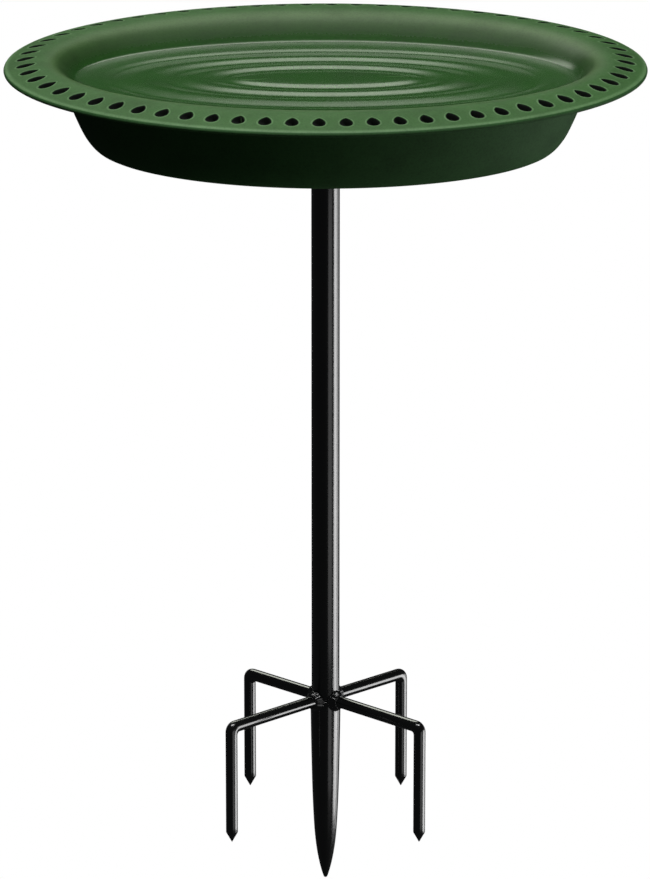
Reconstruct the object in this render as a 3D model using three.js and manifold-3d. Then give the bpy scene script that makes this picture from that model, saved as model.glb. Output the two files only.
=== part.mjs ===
// Bird feeder dish on a ground stake: an oval moulded tray with a ring of slots through its rim,
// carried by a steel tube that plugs onto a pointed stake with four bent prongs.
// Millimetres, +Z up, origin at the tip of the stake.

import * as THREE from 'three';
import { mergeVertices } from 'three/addons/utils/BufferGeometryUtils.js';
import Module from 'manifold-3d';

const wasm = await Module();
wasm.setup();

// ---------------------------------------------------------------- driving dimensions

// Dish
const RIM_Z = 487;              // height of the rim's outer edge
const DISH_A = 179;             // half length of the rim (X)
const DISH_B = 140;             // half width of the rim (Y)
const SLOT_COUNT = 64;
const SLOT_RING_A = 166.5;      // half length of the oval that the slots' centres lie on
const SLOT_RING_B = 127.5;
const SLOT_LENGTH = 10.4;          // along the rim's own normal
const SLOT_WIDTH = 7.8;
const SLOT_PHASE = 0.76;        // slot pitches from -Y to the first slot after it
const RIM_SEGMENTS = 64;
const FLOOR_SKIN = 2.8;
const SCREW_SQUARE = 18;        // the four screw bosses stand at (+-18, +-18)
const BOSS_R = 4.4;
const BOSS_END_Z = 470.6;
const PILOT_R = 2.1;

// Tube
const TUBE_R = 8;
const TUBE_BORE_R = 6.5;
const SEAM_Z = 112;             // where the tube sits down on the stake
const TUBE_TOP_Z = 467.7;

// Flange under the dish
const PLATE_TOP_Z = 470.3;
const PLATE_BOTTOM_Z = 468.0;
const PLATE_R = 32;
const SOCKET_R = 10.4;
const SOCKET_BORE_R = 8.4;
const SOCKET_END_Z = 432;
const CLAMP_Z = 442;            // axis of the clamp screw, along +X
const CLAMP_NUT_R = 6.2;
const CLAMP_NUT_END = 16;

// Stake
const HUB_R = 8.6;
const HUB_BEAD_R = 9.0;         // low bead round the stake's shoulder
const SPIGOT_R = 6.2;
const SPIGOT_TOP_Z = 156;
const ROD_R = 3.4;
const ARM_Z = 111.8;            // centre line of the level arms
const FRONT_BEND = [53.4, 48.2]; // the front legs stand at (+-53.4, -48.2)
const BACK_BEND = [44, 38.6];    // and the back ones, a little closer in, at (+-44, +38.6)
const BEND_R = 4.6;
const PRONG_TIP_Z = 42;
const POINT_LENGTH = 6;

const GAP = 0.3;                // clearance kept between pieces that meet

// ---------------------------------------------------------------- materials

const green = new THREE.MeshStandardMaterial({ name: 'dish', color: 0x35662f, roughness: 0.5, metalness: 0 });
const black = () => new THREE.MeshStandardMaterial({ name: 'black_paint', color: 0x0c0d0d, roughness: 0.22, metalness: 0 });
const zinc = () => new THREE.MeshStandardMaterial({ name: 'zinc', color: 0xa9adb0, roughness: 0.35, metalness: 1 });
const blackPlastic = () => new THREE.MeshStandardMaterial({ name: 'black_plastic', color: 0x141414, roughness: 0.6, metalness: 0 });

// ---------------------------------------------------------------- helpers

const root = new THREE.Group();

function add(name, geometry, material) {
  const mesh = new THREE.Mesh(geometry, material);
  mesh.name = name;
  root.add(mesh);
  return mesh;
}

// Solid of revolution about +Z from [radius, z] pairs that run from the bottom of the axis,
// out and up, to the top of the axis.
function turned(profile, segments) {
  const g = new THREE.LatheGeometry(profile.map(([r, z]) => new THREE.Vector2(r, z)), segments);
  g.rotateX(Math.PI / 2);
  return g;
}

function toSolid(geometry) {
  const g = geometry.clone();
  g.deleteAttribute('normal');
  g.deleteAttribute('uv');
  const m = mergeVertices(g, 1e-4);
  const index = m.index.array;
  const keep = [];
  for (let i = 0; i < index.length; i += 3) {
    const [a, b, c] = [index[i], index[i + 1], index[i + 2]];
    if (a !== b && b !== c && c !== a) keep.push(a, b, c);
  }
  return new wasm.Manifold(new wasm.Mesh({
    numProp: 3,
    vertProperties: Float32Array.from(m.attributes.position.array),
    triVerts: Uint32Array.from(keep),
  }));
}

function fromSolid(solid) {
  const mesh = solid.getMesh();
  const g = new THREE.BufferGeometry();
  g.setAttribute('position', new THREE.BufferAttribute(Float32Array.from(mesh.vertProperties), 3));
  g.setIndex(new THREE.BufferAttribute(Uint32Array.from(mesh.triVerts), 1));
  g.computeVertexNormals();
  return g;
}

// Closed solid lofted through rings of equal point count, capped by a single point at each end.
function lofted(first, rings, last) {
  const n = rings[0].length;
  const positions = [...first];
  for (const ring of rings) for (const p of ring) positions.push(...p);
  positions.push(...last);
  const end = 1 + n * rings.length;
  const index = [];
  const at = (row, i) => 1 + row * n + (i % n);
  for (let i = 0; i < n; i++) {
    index.push(0, at(0, i), at(0, i + 1));
    for (let row = 0; row + 1 < rings.length; row++) {
      index.push(at(row, i), at(row + 1, i), at(row + 1, i + 1));
      index.push(at(row, i), at(row + 1, i + 1), at(row, i + 1));
    }
    index.push(at(rings.length - 1, i), end, at(rings.length - 1, i + 1));
  }
  // Faces point out whichever way round the rings run.
  let volume = 0;
  for (let i = 0; i < index.length; i += 3) {
    const [a, b, c] = [0, 1, 2].map((k) => new THREE.Vector3().fromArray(positions, 3 * index[i + k]));
    volume += a.dot(b.cross(c));
  }
  if (volume < 0) index.reverse();
  const g = new THREE.BufferGeometry();
  g.setAttribute('position', new THREE.BufferAttribute(new Float32Array(positions), 3));
  g.setIndex(index);
  g.computeVertexNormals();
  return g;
}

// Angles that divide an oval into equal lengths of arc, the first one at -Y.
function evenAngles(a, b, count, start) {
  const steps = 7200;
  const lengths = [0];
  for (let i = 1; i <= steps; i++) {
    const t = -Math.PI / 2 + (2 * Math.PI * i) / steps;
    const s = t - Math.PI / steps;
    lengths.push(lengths[i - 1] + Math.hypot(a * Math.sin(s), b * Math.cos(s)) * (2 * Math.PI / steps));
  }
  const total = lengths[steps];
  const out = [];
  let j = 0;
  for (let k = 0; k < count; k++) {
    const want = (((k + start) / count) % 1) * total;
    while (lengths[j + 1] < want) j++;
    out.push(-Math.PI / 2 + (2 * Math.PI * (j + (want - lengths[j]) / (lengths[j + 1] - lengths[j]))) / steps);
  }
  return out;
}

// ---------------------------------------------------------------- dish

// Sections of the tray as [half length, half width, height above the rim's outer edge].
// The floor falls gently outwards from its flat middle and from each ripple, and steps up sharply
// to the next ripple.
const FLOOR_DROP = 8.15;        // lowest part of the floor
const MIDDLE_DROP = 7;          // flat middle
const BASIN = [
  [29.9, 8, -7], [56, 20, -8.1], [67.8, 27, -7], [78, 32.5, -7.5],
  [87.5, 38.3, -8.1], [97.7, 44.5, -7], [108.5, 51, -7.5], [117.6, 58, -8.1],
  [124.5, 64, -7], [132.5, 72, -7], [139, 79, -7.0],
];
const BASIN_WALL = [
  [142.1, 84, -5.4], [146, 92, -0.8], [149.7, 100, 2.2], [153.5, 108, 3.6],
];
// Slope that the underside of the wall follows.
const WALL_FOOT = [139, 79, -7.2];
const WALL_HEAD = [153.5, 108, 3.3];
const RIM_TOP = [
  [157, 112.5, 4.0], [174.5, 135.5, 0.9], [177.8, 138.8, 0], [DISH_A, DISH_B, -1.3],
];
const RIM_UNDER = [
  [178, 139, -2.8], [174, 135, -2.1], [152, 111, 0],
];
const SKIRT_OUT = [
  [147.6, 108.6, -3.6], [145.2, 105.6, -10], [139.6, 99.8, -26],
  [135.4, 95.6, -35.5], [130.8, 92, -43.2], [126.2, 87.8, -46],
];
const SKIRT_IN = [
  [124.8, 86.2, -44.6], [128.4, 89.4, -40.2], [132.8, 93, -34.5], [138.4, 98.6, -22],
];

function wallPoint(s, t, drop) {
  const a = WALL_FOOT[0] + (WALL_HEAD[0] - WALL_FOOT[0]) * s;
  const b = WALL_FOOT[1] + (WALL_HEAD[1] - WALL_FOOT[1]) * s;
  const z = WALL_FOOT[2] + (WALL_HEAD[2] - WALL_FOOT[2]) * s;
  return [a * Math.cos(t), b * Math.sin(t), RIM_Z + z - drop];
}

function buildDish() {
  const angles = evenAngles(DISH_A, DISH_B, RIM_SEGMENTS, SLOT_PHASE - 0.5);
  const ring = ([a, b, z]) => angles.map((t) => [a * Math.cos(t), b * Math.sin(t), RIM_Z + z]);
  const rings = [];
  for (const row of [...BASIN, ...BASIN_WALL, ...RIM_TOP, ...RIM_UNDER, ...SKIRT_OUT, ...SKIRT_IN]) rings.push(ring(row));
  // Inside of the skirt up to where it meets the underside of the basin's wall: higher along
  // the long sides of the oval, where the wall slopes gently, than at its two ends.
  rings.push(angles.map((t) => wallPoint(0.12 + 0.5 * Math.sin(t) ** 2, t, FLOOR_SKIN + 0.6)));
  rings.push(angles.map((t) => wallPoint(0.06 * Math.sin(t) ** 2, t, FLOOR_SKIN + 0.6)));
  for (const [a, b] of [[124.5, 64], [86.5, 37.7], [46, 30]]) {
    rings.push(ring([a, b, -FLOOR_DROP - FLOOR_SKIN]));
  }
  // Underside first, so that the faces point out.
  rings.reverse();
  let solid = toSolid(lofted([0, 0, RIM_Z - FLOOR_DROP - FLOOR_SKIN], rings, [0, 0, RIM_Z - MIDDLE_DROP]));

  // Screw bosses under the middle of the floor.
  for (const sx of [-1, 1]) for (const sy of [-1, 1]) {
    const boss = turned([[0, BOSS_END_Z], [BOSS_R, BOSS_END_Z], [BOSS_R + 0.6, 477.2], [0, 477.2]], 20);
    boss.translate(sx * SCREW_SQUARE, sy * SCREW_SQUARE, 0);
    solid = solid.add(toSolid(boss));
  }
  for (const sx of [-1, 1]) for (const sy of [-1, 1]) {
    const pilot = turned([[0, BOSS_END_Z - 1], [PILOT_R, BOSS_END_Z - 1], [PILOT_R, 476.6], [0, 476.6]], 16);
    pilot.translate(sx * SCREW_SQUARE, sy * SCREW_SQUARE, 0);
    solid = solid.subtract(toSolid(pilot));
  }

  // Slots: rounded at the outer end, drawn to a soft point at the inner end.
  const l = SLOT_LENGTH / 2;
  const w = SLOT_WIDTH / 2;
  const outline = new THREE.Shape([
    [-l, 0], [-l * 0.45, -w * 0.62], [l * 0.22, -w], [l * 0.8, -w * 0.66],
    [l, 0], [l * 0.8, w * 0.66], [l * 0.22, w], [-l * 0.45, w * 0.62],
  ].map(([x, y]) => new THREE.Vector2(x, y)));
  for (const t of evenAngles(SLOT_RING_A, SLOT_RING_B, SLOT_COUNT, SLOT_PHASE)) {
    const slot = new THREE.ExtrudeGeometry(outline, { depth: 16, bevelEnabled: false });
    slot.rotateZ(Math.atan2(SLOT_RING_A * Math.sin(t), SLOT_RING_B * Math.cos(t)));
    slot.translate(SLOT_RING_A * Math.cos(t), SLOT_RING_B * Math.sin(t), RIM_Z - 8);
    solid = solid.subtract(toSolid(slot));
  }
  return fromSolid(solid);
}

add('dish', buildDish(), green);

// ---------------------------------------------------------------- flange, screws and clamp

function buildFlange() {
  let solid = toSolid(turned([
    [0, PLATE_BOTTOM_Z], [SOCKET_BORE_R, PLATE_BOTTOM_Z], [SOCKET_BORE_R, SOCKET_END_Z + 0.8],
    [SOCKET_BORE_R + 0.6, SOCKET_END_Z], [SOCKET_R - 0.3, SOCKET_END_Z], [SOCKET_R, SOCKET_END_Z + 0.5],
    [SOCKET_R, PLATE_BOTTOM_Z - 3], [SOCKET_R + 1, PLATE_BOTTOM_Z - 1], [SOCKET_R + 3, PLATE_BOTTOM_Z],
    [PLATE_R - 0.4, PLATE_BOTTOM_Z], [PLATE_R, PLATE_BOTTOM_Z + 0.5], [PLATE_R, PLATE_TOP_Z - 0.5],
    [PLATE_R - 0.4, PLATE_TOP_Z], [0, PLATE_TOP_Z],
  ], 36));
  // Welded nut for the clamp screw, along +X.
  const nut = turned([[0, 9.2], [CLAMP_NUT_R, 9.2], [CLAMP_NUT_R, CLAMP_NUT_END - 0.5],
    [CLAMP_NUT_R - 0.6, CLAMP_NUT_END], [0, CLAMP_NUT_END]], 6);
  nut.rotateY(Math.PI / 2);
  nut.translate(0, 0, CLAMP_Z);
  solid = solid.add(toSolid(nut));
  const clampHole = turned([[0, 5], [2.5 + GAP, 5], [2.5 + GAP, 20], [0, 20]], 16);
  clampHole.rotateY(Math.PI / 2);
  clampHole.translate(0, 0, CLAMP_Z);
  solid = solid.subtract(toSolid(clampHole));
  for (const sx of [-1, 1]) for (const sy of [-1, 1]) {
    const hole = turned([[0, 460], [2.3, 460], [2.3, 474], [0, 474]], 16);
    hole.translate(sx * SCREW_SQUARE, sy * SCREW_SQUARE, 0);
    solid = solid.subtract(toSolid(hole));
  }
  return fromSolid(solid);
}

add('socket_flange', buildFlange(), black());

// Pan head screws that hold the flange to the bosses.
[['front_left', -1, -1], ['front_right', 1, -1], ['back_left', -1, 1], ['back_right', 1, 1]].forEach(([where, sx, sy]) => {
  const under = PLATE_BOTTOM_Z - GAP;
  const screw = toSolid(turned([
    [0, under - 2.5], [2.2, under - 2.45], [3.2, under - 1.9], [3.6, under - 1.0], [3.6, under],
    [1.8, under], [1.8, 475.2], [0, 476.2],
  ], 16));
  // Slot across the head.
  const cut = new THREE.BoxGeometry(8, 0.9, 2.4);
  cut.translate(0, 0, under - 2.6);
  const g = fromSolid(screw.subtract(toSolid(cut)));
  g.translate(sx * SCREW_SQUARE, sy * SCREW_SQUARE, 0);
  add(`flange_screw_${where}`, g, zinc());
});

// Clamp screw and its knob, along +X.
const clampScrew = turned([
  [0, TUBE_R + GAP + 0.1], [1.9, TUBE_R + GAP + 0.1], [2.5, TUBE_R + GAP + 0.8], [2.5, 34], [0, 34],
], 16);
clampScrew.rotateY(Math.PI / 2);
clampScrew.translate(0, 0, CLAMP_Z);
add('clamp_screw', clampScrew, zinc());

const knobShape = new THREE.Shape();
const LOBES = 6;
for (let i = 0; i < 48; i++) {
  const t = (2 * Math.PI * i) / 48;
  const r = 8.6 + 0.9 * Math.cos(LOBES * t);
  if (i === 0) knobShape.moveTo(r * Math.cos(t), r * Math.sin(t));
  else knobShape.lineTo(r * Math.cos(t), r * Math.sin(t));
}
knobShape.closePath();
let knob = toSolid((() => {
  const g = new THREE.ExtrudeGeometry(knobShape, { depth: 7.6, bevelEnabled: true, bevelThickness: 0.7, bevelSize: 0.7, bevelOffset: -0.7, bevelSegments: 1 });
  g.translate(0, 0, 25.2);
  return g;
})());
knob = knob.subtract(toSolid(turned([[0, 20], [2.5 + GAP, 20], [2.5 + GAP, 40], [0, 40]], 16)));
const knobGeometry = fromSolid(knob);
knobGeometry.rotateY(Math.PI / 2);
knobGeometry.translate(0, 0, CLAMP_Z);
add('clamp_knob', knobGeometry, blackPlastic());

// ---------------------------------------------------------------- tube

const TUBE_FOOT_Z = SEAM_Z + GAP;
add('pole_tube', turned([
  [TUBE_BORE_R, TUBE_FOOT_Z], [TUBE_R - 0.3, TUBE_FOOT_Z], [TUBE_R, TUBE_FOOT_Z + 0.4],
  [TUBE_R, TUBE_TOP_Z - 0.4], [TUBE_R - 0.3, TUBE_TOP_Z], [TUBE_BORE_R, TUBE_TOP_Z],
  [TUBE_BORE_R, TUBE_FOOT_Z],
], 36), black());

add('pole_top_plug', turned([
  [0, TUBE_TOP_Z - 16], [TUBE_BORE_R - 0.9, TUBE_TOP_Z - 16], [TUBE_BORE_R - GAP, TUBE_TOP_Z - 14.5],
  [TUBE_BORE_R - GAP, TUBE_TOP_Z - 0.8], [TUBE_BORE_R - 0.8, TUBE_TOP_Z - 0.3], [0, TUBE_TOP_Z - 0.3],
], 24), blackPlastic());

// ---------------------------------------------------------------- stake

add('spike', turned([
  [0, 0], [0.9, 0.7], [1.9, 3.2], [3.0, 7.2], [4.1, 12.2], [5.0, 17.6], [5.8, 24], [6.5, 32],
  [7.1, 43], [7.6, 56], [8.0, 72], [8.35, 90], [HUB_R, SEAM_Z - 6],
  [HUB_R, SEAM_Z - 2.4], [HUB_BEAD_R, SEAM_Z - 1.9], [HUB_BEAD_R, SEAM_Z - 0.6], [HUB_R, SEAM_Z],
  [SPIGOT_R, SEAM_Z], [SPIGOT_R, SPIGOT_TOP_Z - 2], [SPIGOT_R - 1.4, SPIGOT_TOP_Z], [0, SPIGOT_TOP_Z],
], 36), black());

// One prong: a level arm, a tight bend and a straight leg, in the X-Z plane, then its point.
const ROD_START = HUB_BEAD_R + GAP;
function buildProng(angle, reach) {
  class ProngLine extends THREE.Curve {
    constructor() {
      super();
      this.level = reach - BEND_R - ROD_START;
      this.turn = BEND_R * Math.PI / 2;
      this.drop = ARM_Z - BEND_R - (PRONG_TIP_Z + POINT_LENGTH);
      this.total = this.level + this.turn + this.drop;
    }
    getPoint(u, target = new THREE.Vector3()) {
      const d = u * this.total;
      if (d <= this.level) return target.set(ROD_START + d, 0, ARM_Z);
      if (d <= this.level + this.turn) {
        const t = (d - this.level) / BEND_R;
        return target.set(reach - BEND_R + BEND_R * Math.sin(t), 0, ARM_Z - BEND_R + BEND_R * Math.cos(t));
      }
      return target.set(reach, 0, ARM_Z - BEND_R - (d - this.level - this.turn));
    }
  }
  // Rings of the rod along its line, each square to it.
  const sides = 12;
  const line = new ProngLine();
  const stops = [0, line.level];
  for (let i = 1; i <= 5; i++) stops.push(line.level + (line.turn * i) / 5);
  stops.push(line.total);
  const rings = stops.map((d) => {
    const p = line.getPoint(d / line.total);
    const t = Math.min(Math.max((d - line.level) / BEND_R, 0), Math.PI / 2);
    const up = new THREE.Vector3(Math.sin(t), 0, Math.cos(t));
    const out = [];
    for (let i = 0; i < sides; i++) {
      const a = (2 * Math.PI * i) / sides;
      out.push([
        p.x + up.x * ROD_R * Math.cos(a), ROD_R * Math.sin(a), p.z + up.z * ROD_R * Math.cos(a),
      ]);
    }
    return out;
  });
  const g = lofted([ROD_START, 0, ARM_Z], rings, [reach, 0, PRONG_TIP_Z]);
  g.rotateZ(angle);
  return g;
}

// Fillet weld round the root of one prong, shaped to the stake behind it.
function buildWeld(angle) {
  const ring = turned([
    [ROD_R + GAP, 4], [ROD_R + 2.5, 4], [ROD_R + 2.5, 8.6], [ROD_R + 2.0, 10.1], [ROD_R + 1.0, 11.3],
    [ROD_R + GAP, 11.8], [ROD_R + GAP, 4],
  ], 16);
  ring.rotateY(Math.PI / 2);
  ring.translate(0, 0, ARM_Z);
  const hub = turned([[0, 80], [HUB_BEAD_R + GAP, 80], [HUB_BEAD_R + GAP, 140], [0, 140]], 36);
  const g = fromSolid(toSolid(ring).subtract(toSolid(hub)));
  g.rotateZ(angle);
  return g;
}

[['front_left', -1, -1], ['front_right', 1, -1], ['back_left', -1, 1], ['back_right', 1, 1]].forEach(([where, sx, sy]) => {
  const [x, y] = sy < 0 ? FRONT_BEND : BACK_BEND;
  const angle = Math.atan2(sy * y, sx * x);
  add(`prong_${where}`, buildProng(angle, Math.hypot(x, y)), black());
  add(`weld_${where}`, buildWeld(angle), black());
});

export default root;
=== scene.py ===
import math

import bmesh
import bpy
import numpy as np
from mathutils import Matrix, Vector


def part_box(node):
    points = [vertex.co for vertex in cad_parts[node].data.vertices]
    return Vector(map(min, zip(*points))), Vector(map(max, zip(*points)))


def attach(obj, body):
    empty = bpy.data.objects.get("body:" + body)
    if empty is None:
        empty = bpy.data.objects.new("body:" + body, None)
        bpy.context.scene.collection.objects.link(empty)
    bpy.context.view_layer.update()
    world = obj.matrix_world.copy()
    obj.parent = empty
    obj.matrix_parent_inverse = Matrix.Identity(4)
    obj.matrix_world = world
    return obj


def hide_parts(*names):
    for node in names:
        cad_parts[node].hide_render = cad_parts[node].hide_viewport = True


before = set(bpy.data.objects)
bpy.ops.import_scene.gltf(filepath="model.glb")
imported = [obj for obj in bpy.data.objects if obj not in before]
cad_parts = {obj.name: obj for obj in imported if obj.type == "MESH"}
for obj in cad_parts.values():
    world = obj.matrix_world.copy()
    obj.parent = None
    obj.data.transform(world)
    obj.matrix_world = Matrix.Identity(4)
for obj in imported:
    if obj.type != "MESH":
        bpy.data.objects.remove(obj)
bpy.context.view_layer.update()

MM = 0.001
TAU = 2 * math.pi

scene = bpy.context.scene

# ------------------------------------------------------------------ where the CAD says things are

dish_lo, dish_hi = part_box("dish")
RIM_Z = dish_hi.z / MM - 4.0
tube_lo, tube_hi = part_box("pole_tube")
TUBE_FOOT = tube_lo.z / MM
TUBE_TOP = tube_hi.z / MM
SEAM_Z = TUBE_FOOT - 0.3
flange_lo, flange_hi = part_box("socket_flange")
PLATE_TOP = flange_hi.z / MM
SOCKET_END = flange_lo.z / MM
PLATE_BOTTOM = PLATE_TOP - 2.3
spike_lo, spike_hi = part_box("spike")
SPIGOT_TOP = spike_hi.z / MM
prong_lo, prong_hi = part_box("prong_front_right")
ROD_R = 3.4
ARM_Z = prong_hi.z / MM - ROD_R
FRONT_BEND = (53.4, 48.2)
BACK_BEND = (44.0, 38.6)
PRONG_TIP = prong_lo.z / MM
knob_lo, knob_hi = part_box("clamp_knob")
CLAMP_Z = (knob_lo.z + knob_hi.z) / 2 / MM
SLOTS = 64
SLOT_PHASE = 0.76

# ------------------------------------------------------------------ materials


class Nodes:
    def __init__(self, name):
        self.material = bpy.data.materials.new(name)
        self.material.use_nodes = True
        self.tree = self.material.node_tree
        self.tree.nodes.clear()
        self.out = self.tree.nodes.new("ShaderNodeOutputMaterial")
        self.shader = self.tree.nodes.new("ShaderNodeBsdfPrincipled")
        self.link(self.shader.outputs[0], self.out.inputs[0])

    def node(self, kind, **values):
        n = self.tree.nodes.new(kind)
        for key, value in values.items():
            setattr(n, key, value)
        return n

    def link(self, a, b):
        self.tree.links.new(a, b)

    def coordinates(self):
        if not hasattr(self, "_co"):
            self._co = self.node("ShaderNodeTexCoord").outputs["Object"]
        return self._co

    def noise(self, scale, detail=3.0, rough=0.55, stretch=None, distortion=0.0):
        n = self.node("ShaderNodeTexNoise")
        n.inputs["Scale"].default_value = scale
        n.inputs["Detail"].default_value = detail
        n.inputs["Roughness"].default_value = rough
        n.inputs["Distortion"].default_value = distortion
        source = self.coordinates()
        if stretch:
            m = self.node("ShaderNodeMapping")
            m.inputs["Scale"].default_value = stretch
            self.link(source, m.inputs["Vector"])
            source = m.outputs[0]
        self.link(source, n.inputs["Vector"])
        return n.outputs["Fac"]

    def ramp(self, source, stops):
        n = self.node("ShaderNodeValToRGB")
        n.color_ramp.elements[0].position = stops[0][0]
        n.color_ramp.elements[0].color = (*stops[0][1], 1)
        n.color_ramp.elements[1].position = stops[-1][0]
        n.color_ramp.elements[1].color = (*stops[-1][1], 1)
        for at, colour in stops[1:-1]:
            e = n.color_ramp.elements.new(at)
            e.color = (*colour, 1)
        self.link(source, n.inputs[0])
        return n.outputs[0]

    def span(self, source, a, b, lo, hi):
        n = self.node("ShaderNodeMapRange")
        n.inputs["From Min"].default_value = a
        n.inputs["From Max"].default_value = b
        n.inputs["To Min"].default_value = lo
        n.inputs["To Max"].default_value = hi
        self.link(source, n.inputs["Value"])
        return n.outputs[0]

    def math(self, op, a, b=None):
        n = self.node("ShaderNodeMath", operation=op)
        for i, v in enumerate((a, b)):
            if v is None:
                continue
            if isinstance(v, (int, float)):
                n.inputs[i].default_value = v
            else:
                self.link(v, n.inputs[i])
        return n.outputs[0]

    def mix(self, fac, a, b, blend="MIX"):
        n = self.node("ShaderNodeMix", data_type="RGBA", blend_type=blend)
        if isinstance(fac, (int, float)):
            n.inputs[0].default_value = fac
        else:
            self.link(fac, n.inputs[0])
        for socket, v in ((n.inputs[6], a), (n.inputs[7], b)):
            if isinstance(v, tuple):
                socket.default_value = (*v, 1)
            else:
                self.link(v, socket)
        return n.outputs[2]

    def bump(self, height, strength, distance, below=None):
        n = self.node("ShaderNodeBump")
        n.inputs["Strength"].default_value = strength
        n.inputs["Distance"].default_value = distance
        self.link(height, n.inputs["Height"])
        if below is not None:
            self.link(below, n.inputs["Normal"])
        return n.outputs[0]


def dish_material():
    m = Nodes("dish_moulded_green")
    s = m.shader
    # Zone of the moulding: 0 floor, 1 wall foot, 2 wall, 3 rim, 4 outer edge, 5 skirt and underside, 6 inside the slots.
    zone = m.math("DIVIDE", m.node("ShaderNodeAttribute", attribute_name="zone").outputs["Fac"], 6.0)
    broad = m.noise(9.0, 3.0, 0.5)
    clouds = m.noise(42.0, 4.0, 0.6)
    fine = m.noise(820.0, 2.0, 0.6)
    # The zone colours hold painted light: painted shade darkens the floor and the lower wall, deepest in the crease at
    # the wall foot; a painted sheen lightens the upper wall under the rim; a painted highlight lightens the outer edge
    # and the bead round each slot; painted shade makes the inside of the slots near black.
    plastic_and_painted_light = m.ramp(zone, [
        (0.0, (0.023, 0.100, 0.015)), (1 / 6, (0.018, 0.076, 0.012)), (2 / 6, (0.032, 0.080, 0.022)),
        (2.7 / 6, (0.066, 0.146, 0.040)), (3 / 6, (0.042, 0.136, 0.028)), (3.3 / 6, (0.044, 0.138, 0.030)), (4 / 6, (0.130, 0.270, 0.105)), (4.3 / 6, (0.030, 0.118, 0.026)),
        (5 / 6, (0.030, 0.118, 0.026)), (5.4 / 6, (0.004, 0.010, 0.004)), (1.0, (0.003, 0.008, 0.003)),
    ])
    base = m.mix(m.span(broad, 0.35, 0.70, 0.0, 0.12), plastic_and_painted_light, (0.070, 0.170, 0.055), "SOFT_LIGHT")
    base = m.mix(m.span(clouds, 0.45, 0.75, 0.0, 0.30), base, (0.25, 0.25, 0.25), "MULTIPLY")
    base = m.mix(m.span(fine, 0.45, 0.75, 0.0, 0.30), base, (0.2, 0.2, 0.2), "MULTIPLY")
    # Painted highlight: slightly paler along convex edges.
    geometry = m.node("ShaderNodeNewGeometry")
    edge = m.span(geometry.outputs["Pointiness"], 0.53, 0.62, 0.0, 0.6)
    base = m.mix(edge, base, (0.14, 0.24, 0.11))
    m.link(base, s.inputs["Base Color"])
    # Glossier inside the basin than on the rim, where the mould is grained.
    polish = m.node("ShaderNodeValToRGB")
    polish.color_ramp.elements[0].position = 0.0
    polish.color_ramp.elements[0].color = (0.185, 0.185, 0.185, 1)
    polish.color_ramp.elements[1].position = 1.0
    polish.color_ramp.elements[1].color = (0.80, 0.80, 0.80, 1)
    for at, value in ((1.2 / 6, 0.20), (2.2 / 6, 0.36), (2.8 / 6, 0.46), (3.1 / 6, 0.66), (4 / 6, 0.60), (5 / 6, 0.76)):
        e = polish.color_ramp.elements.new(at)
        e.color = (value, value, value, 1)
    m.link(zone, polish.inputs[0])
    rough = m.math("ADD", polish.outputs[0], m.math("ADD", m.span(clouds, 0.3, 0.7, -0.012, 0.03), m.span(fine, 0.3, 0.7, -0.01, 0.015)))
    m.link(rough, s.inputs["Roughness"])
    s.inputs["Specular IOR Level"].default_value = 0.36
    grain = m.bump(fine, 0.10, 0.00022)
    m.link(m.span(zone, 0.3, 0.5, 0.008, 0.14), grain.node.inputs["Strength"])
    pebble = m.bump(m.noise(250.0, 3.0, 0.6), 0.035, 0.0006, grain)
    m.link(m.span(zone, 0.3, 0.5, 0.003, 0.07), pebble.node.inputs["Strength"])
    waves = m.bump(m.noise(16.0, 2.0, 0.5), 0.03, 0.004, pebble)
    m.link(waves, s.inputs["Normal"])
    return m.material


def black_paint(name, peel=1.0):
    m = Nodes(name)
    s = m.shader
    broad = m.noise(14.0, 3.0, 0.55)
    orange = m.noise(520.0, 2.0, 0.5)
    specks = m.noise(1500.0, 1.0, 0.5)
    base = m.ramp(broad, [(0.35, (0.0052, 0.0058, 0.0056)), (0.7, (0.0098, 0.0104, 0.0100))])
    base = m.mix(m.span(specks, 0.66, 0.74, 0.0, 0.35), base, (0.03, 0.03, 0.03))
    geometry = m.node("ShaderNodeNewGeometry")
    base = m.mix(m.span(geometry.outputs["Pointiness"], 0.56, 0.66, 0.0, 0.3), base, (0.05, 0.05, 0.05))
    m.link(base, s.inputs["Base Color"])
    m.link(m.math("ADD", m.span(broad, 0.3, 0.7, 0.17, 0.23), m.span(orange, 0.3, 0.7, 0.0, 0.03)), s.inputs["Roughness"])
    s.inputs["Specular IOR Level"].default_value = 1.0
    s.inputs["Coat Weight"].default_value = 1.0
    s.inputs["Coat Roughness"].default_value = 0.10
    s.inputs["Coat IOR"].default_value = 1.65
    skin = m.bump(orange, 0.05 * peel, 0.0005)
    m.link(m.bump(m.noise(45.0, 2.0, 0.5), 0.03, 0.002, skin), s.inputs["Normal"])
    return m.material


def zinc_material():
    m = Nodes("zinc_plated_steel")
    s = m.shader
    broad = m.noise(260.0, 4.0, 0.6)
    brushed = m.noise(1400.0, 2.0, 0.5, stretch=(1.0, 1.0, 8.0))
    m.link(m.ramp(broad, [(0.3, (0.44, 0.45, 0.46)), (0.55, (0.60, 0.61, 0.63)), (0.8, (0.68, 0.67, 0.62))]), s.inputs["Base Color"])
    m.link(m.math("ADD", m.span(broad, 0.3, 0.7, 0.26, 0.38), m.span(brushed, 0.3, 0.7, 0.0, 0.08)), s.inputs["Roughness"])
    s.inputs["Metallic"].default_value = 1.0
    m.link(m.bump(brushed, 0.15, 0.0002), s.inputs["Normal"])
    return m.material


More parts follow.
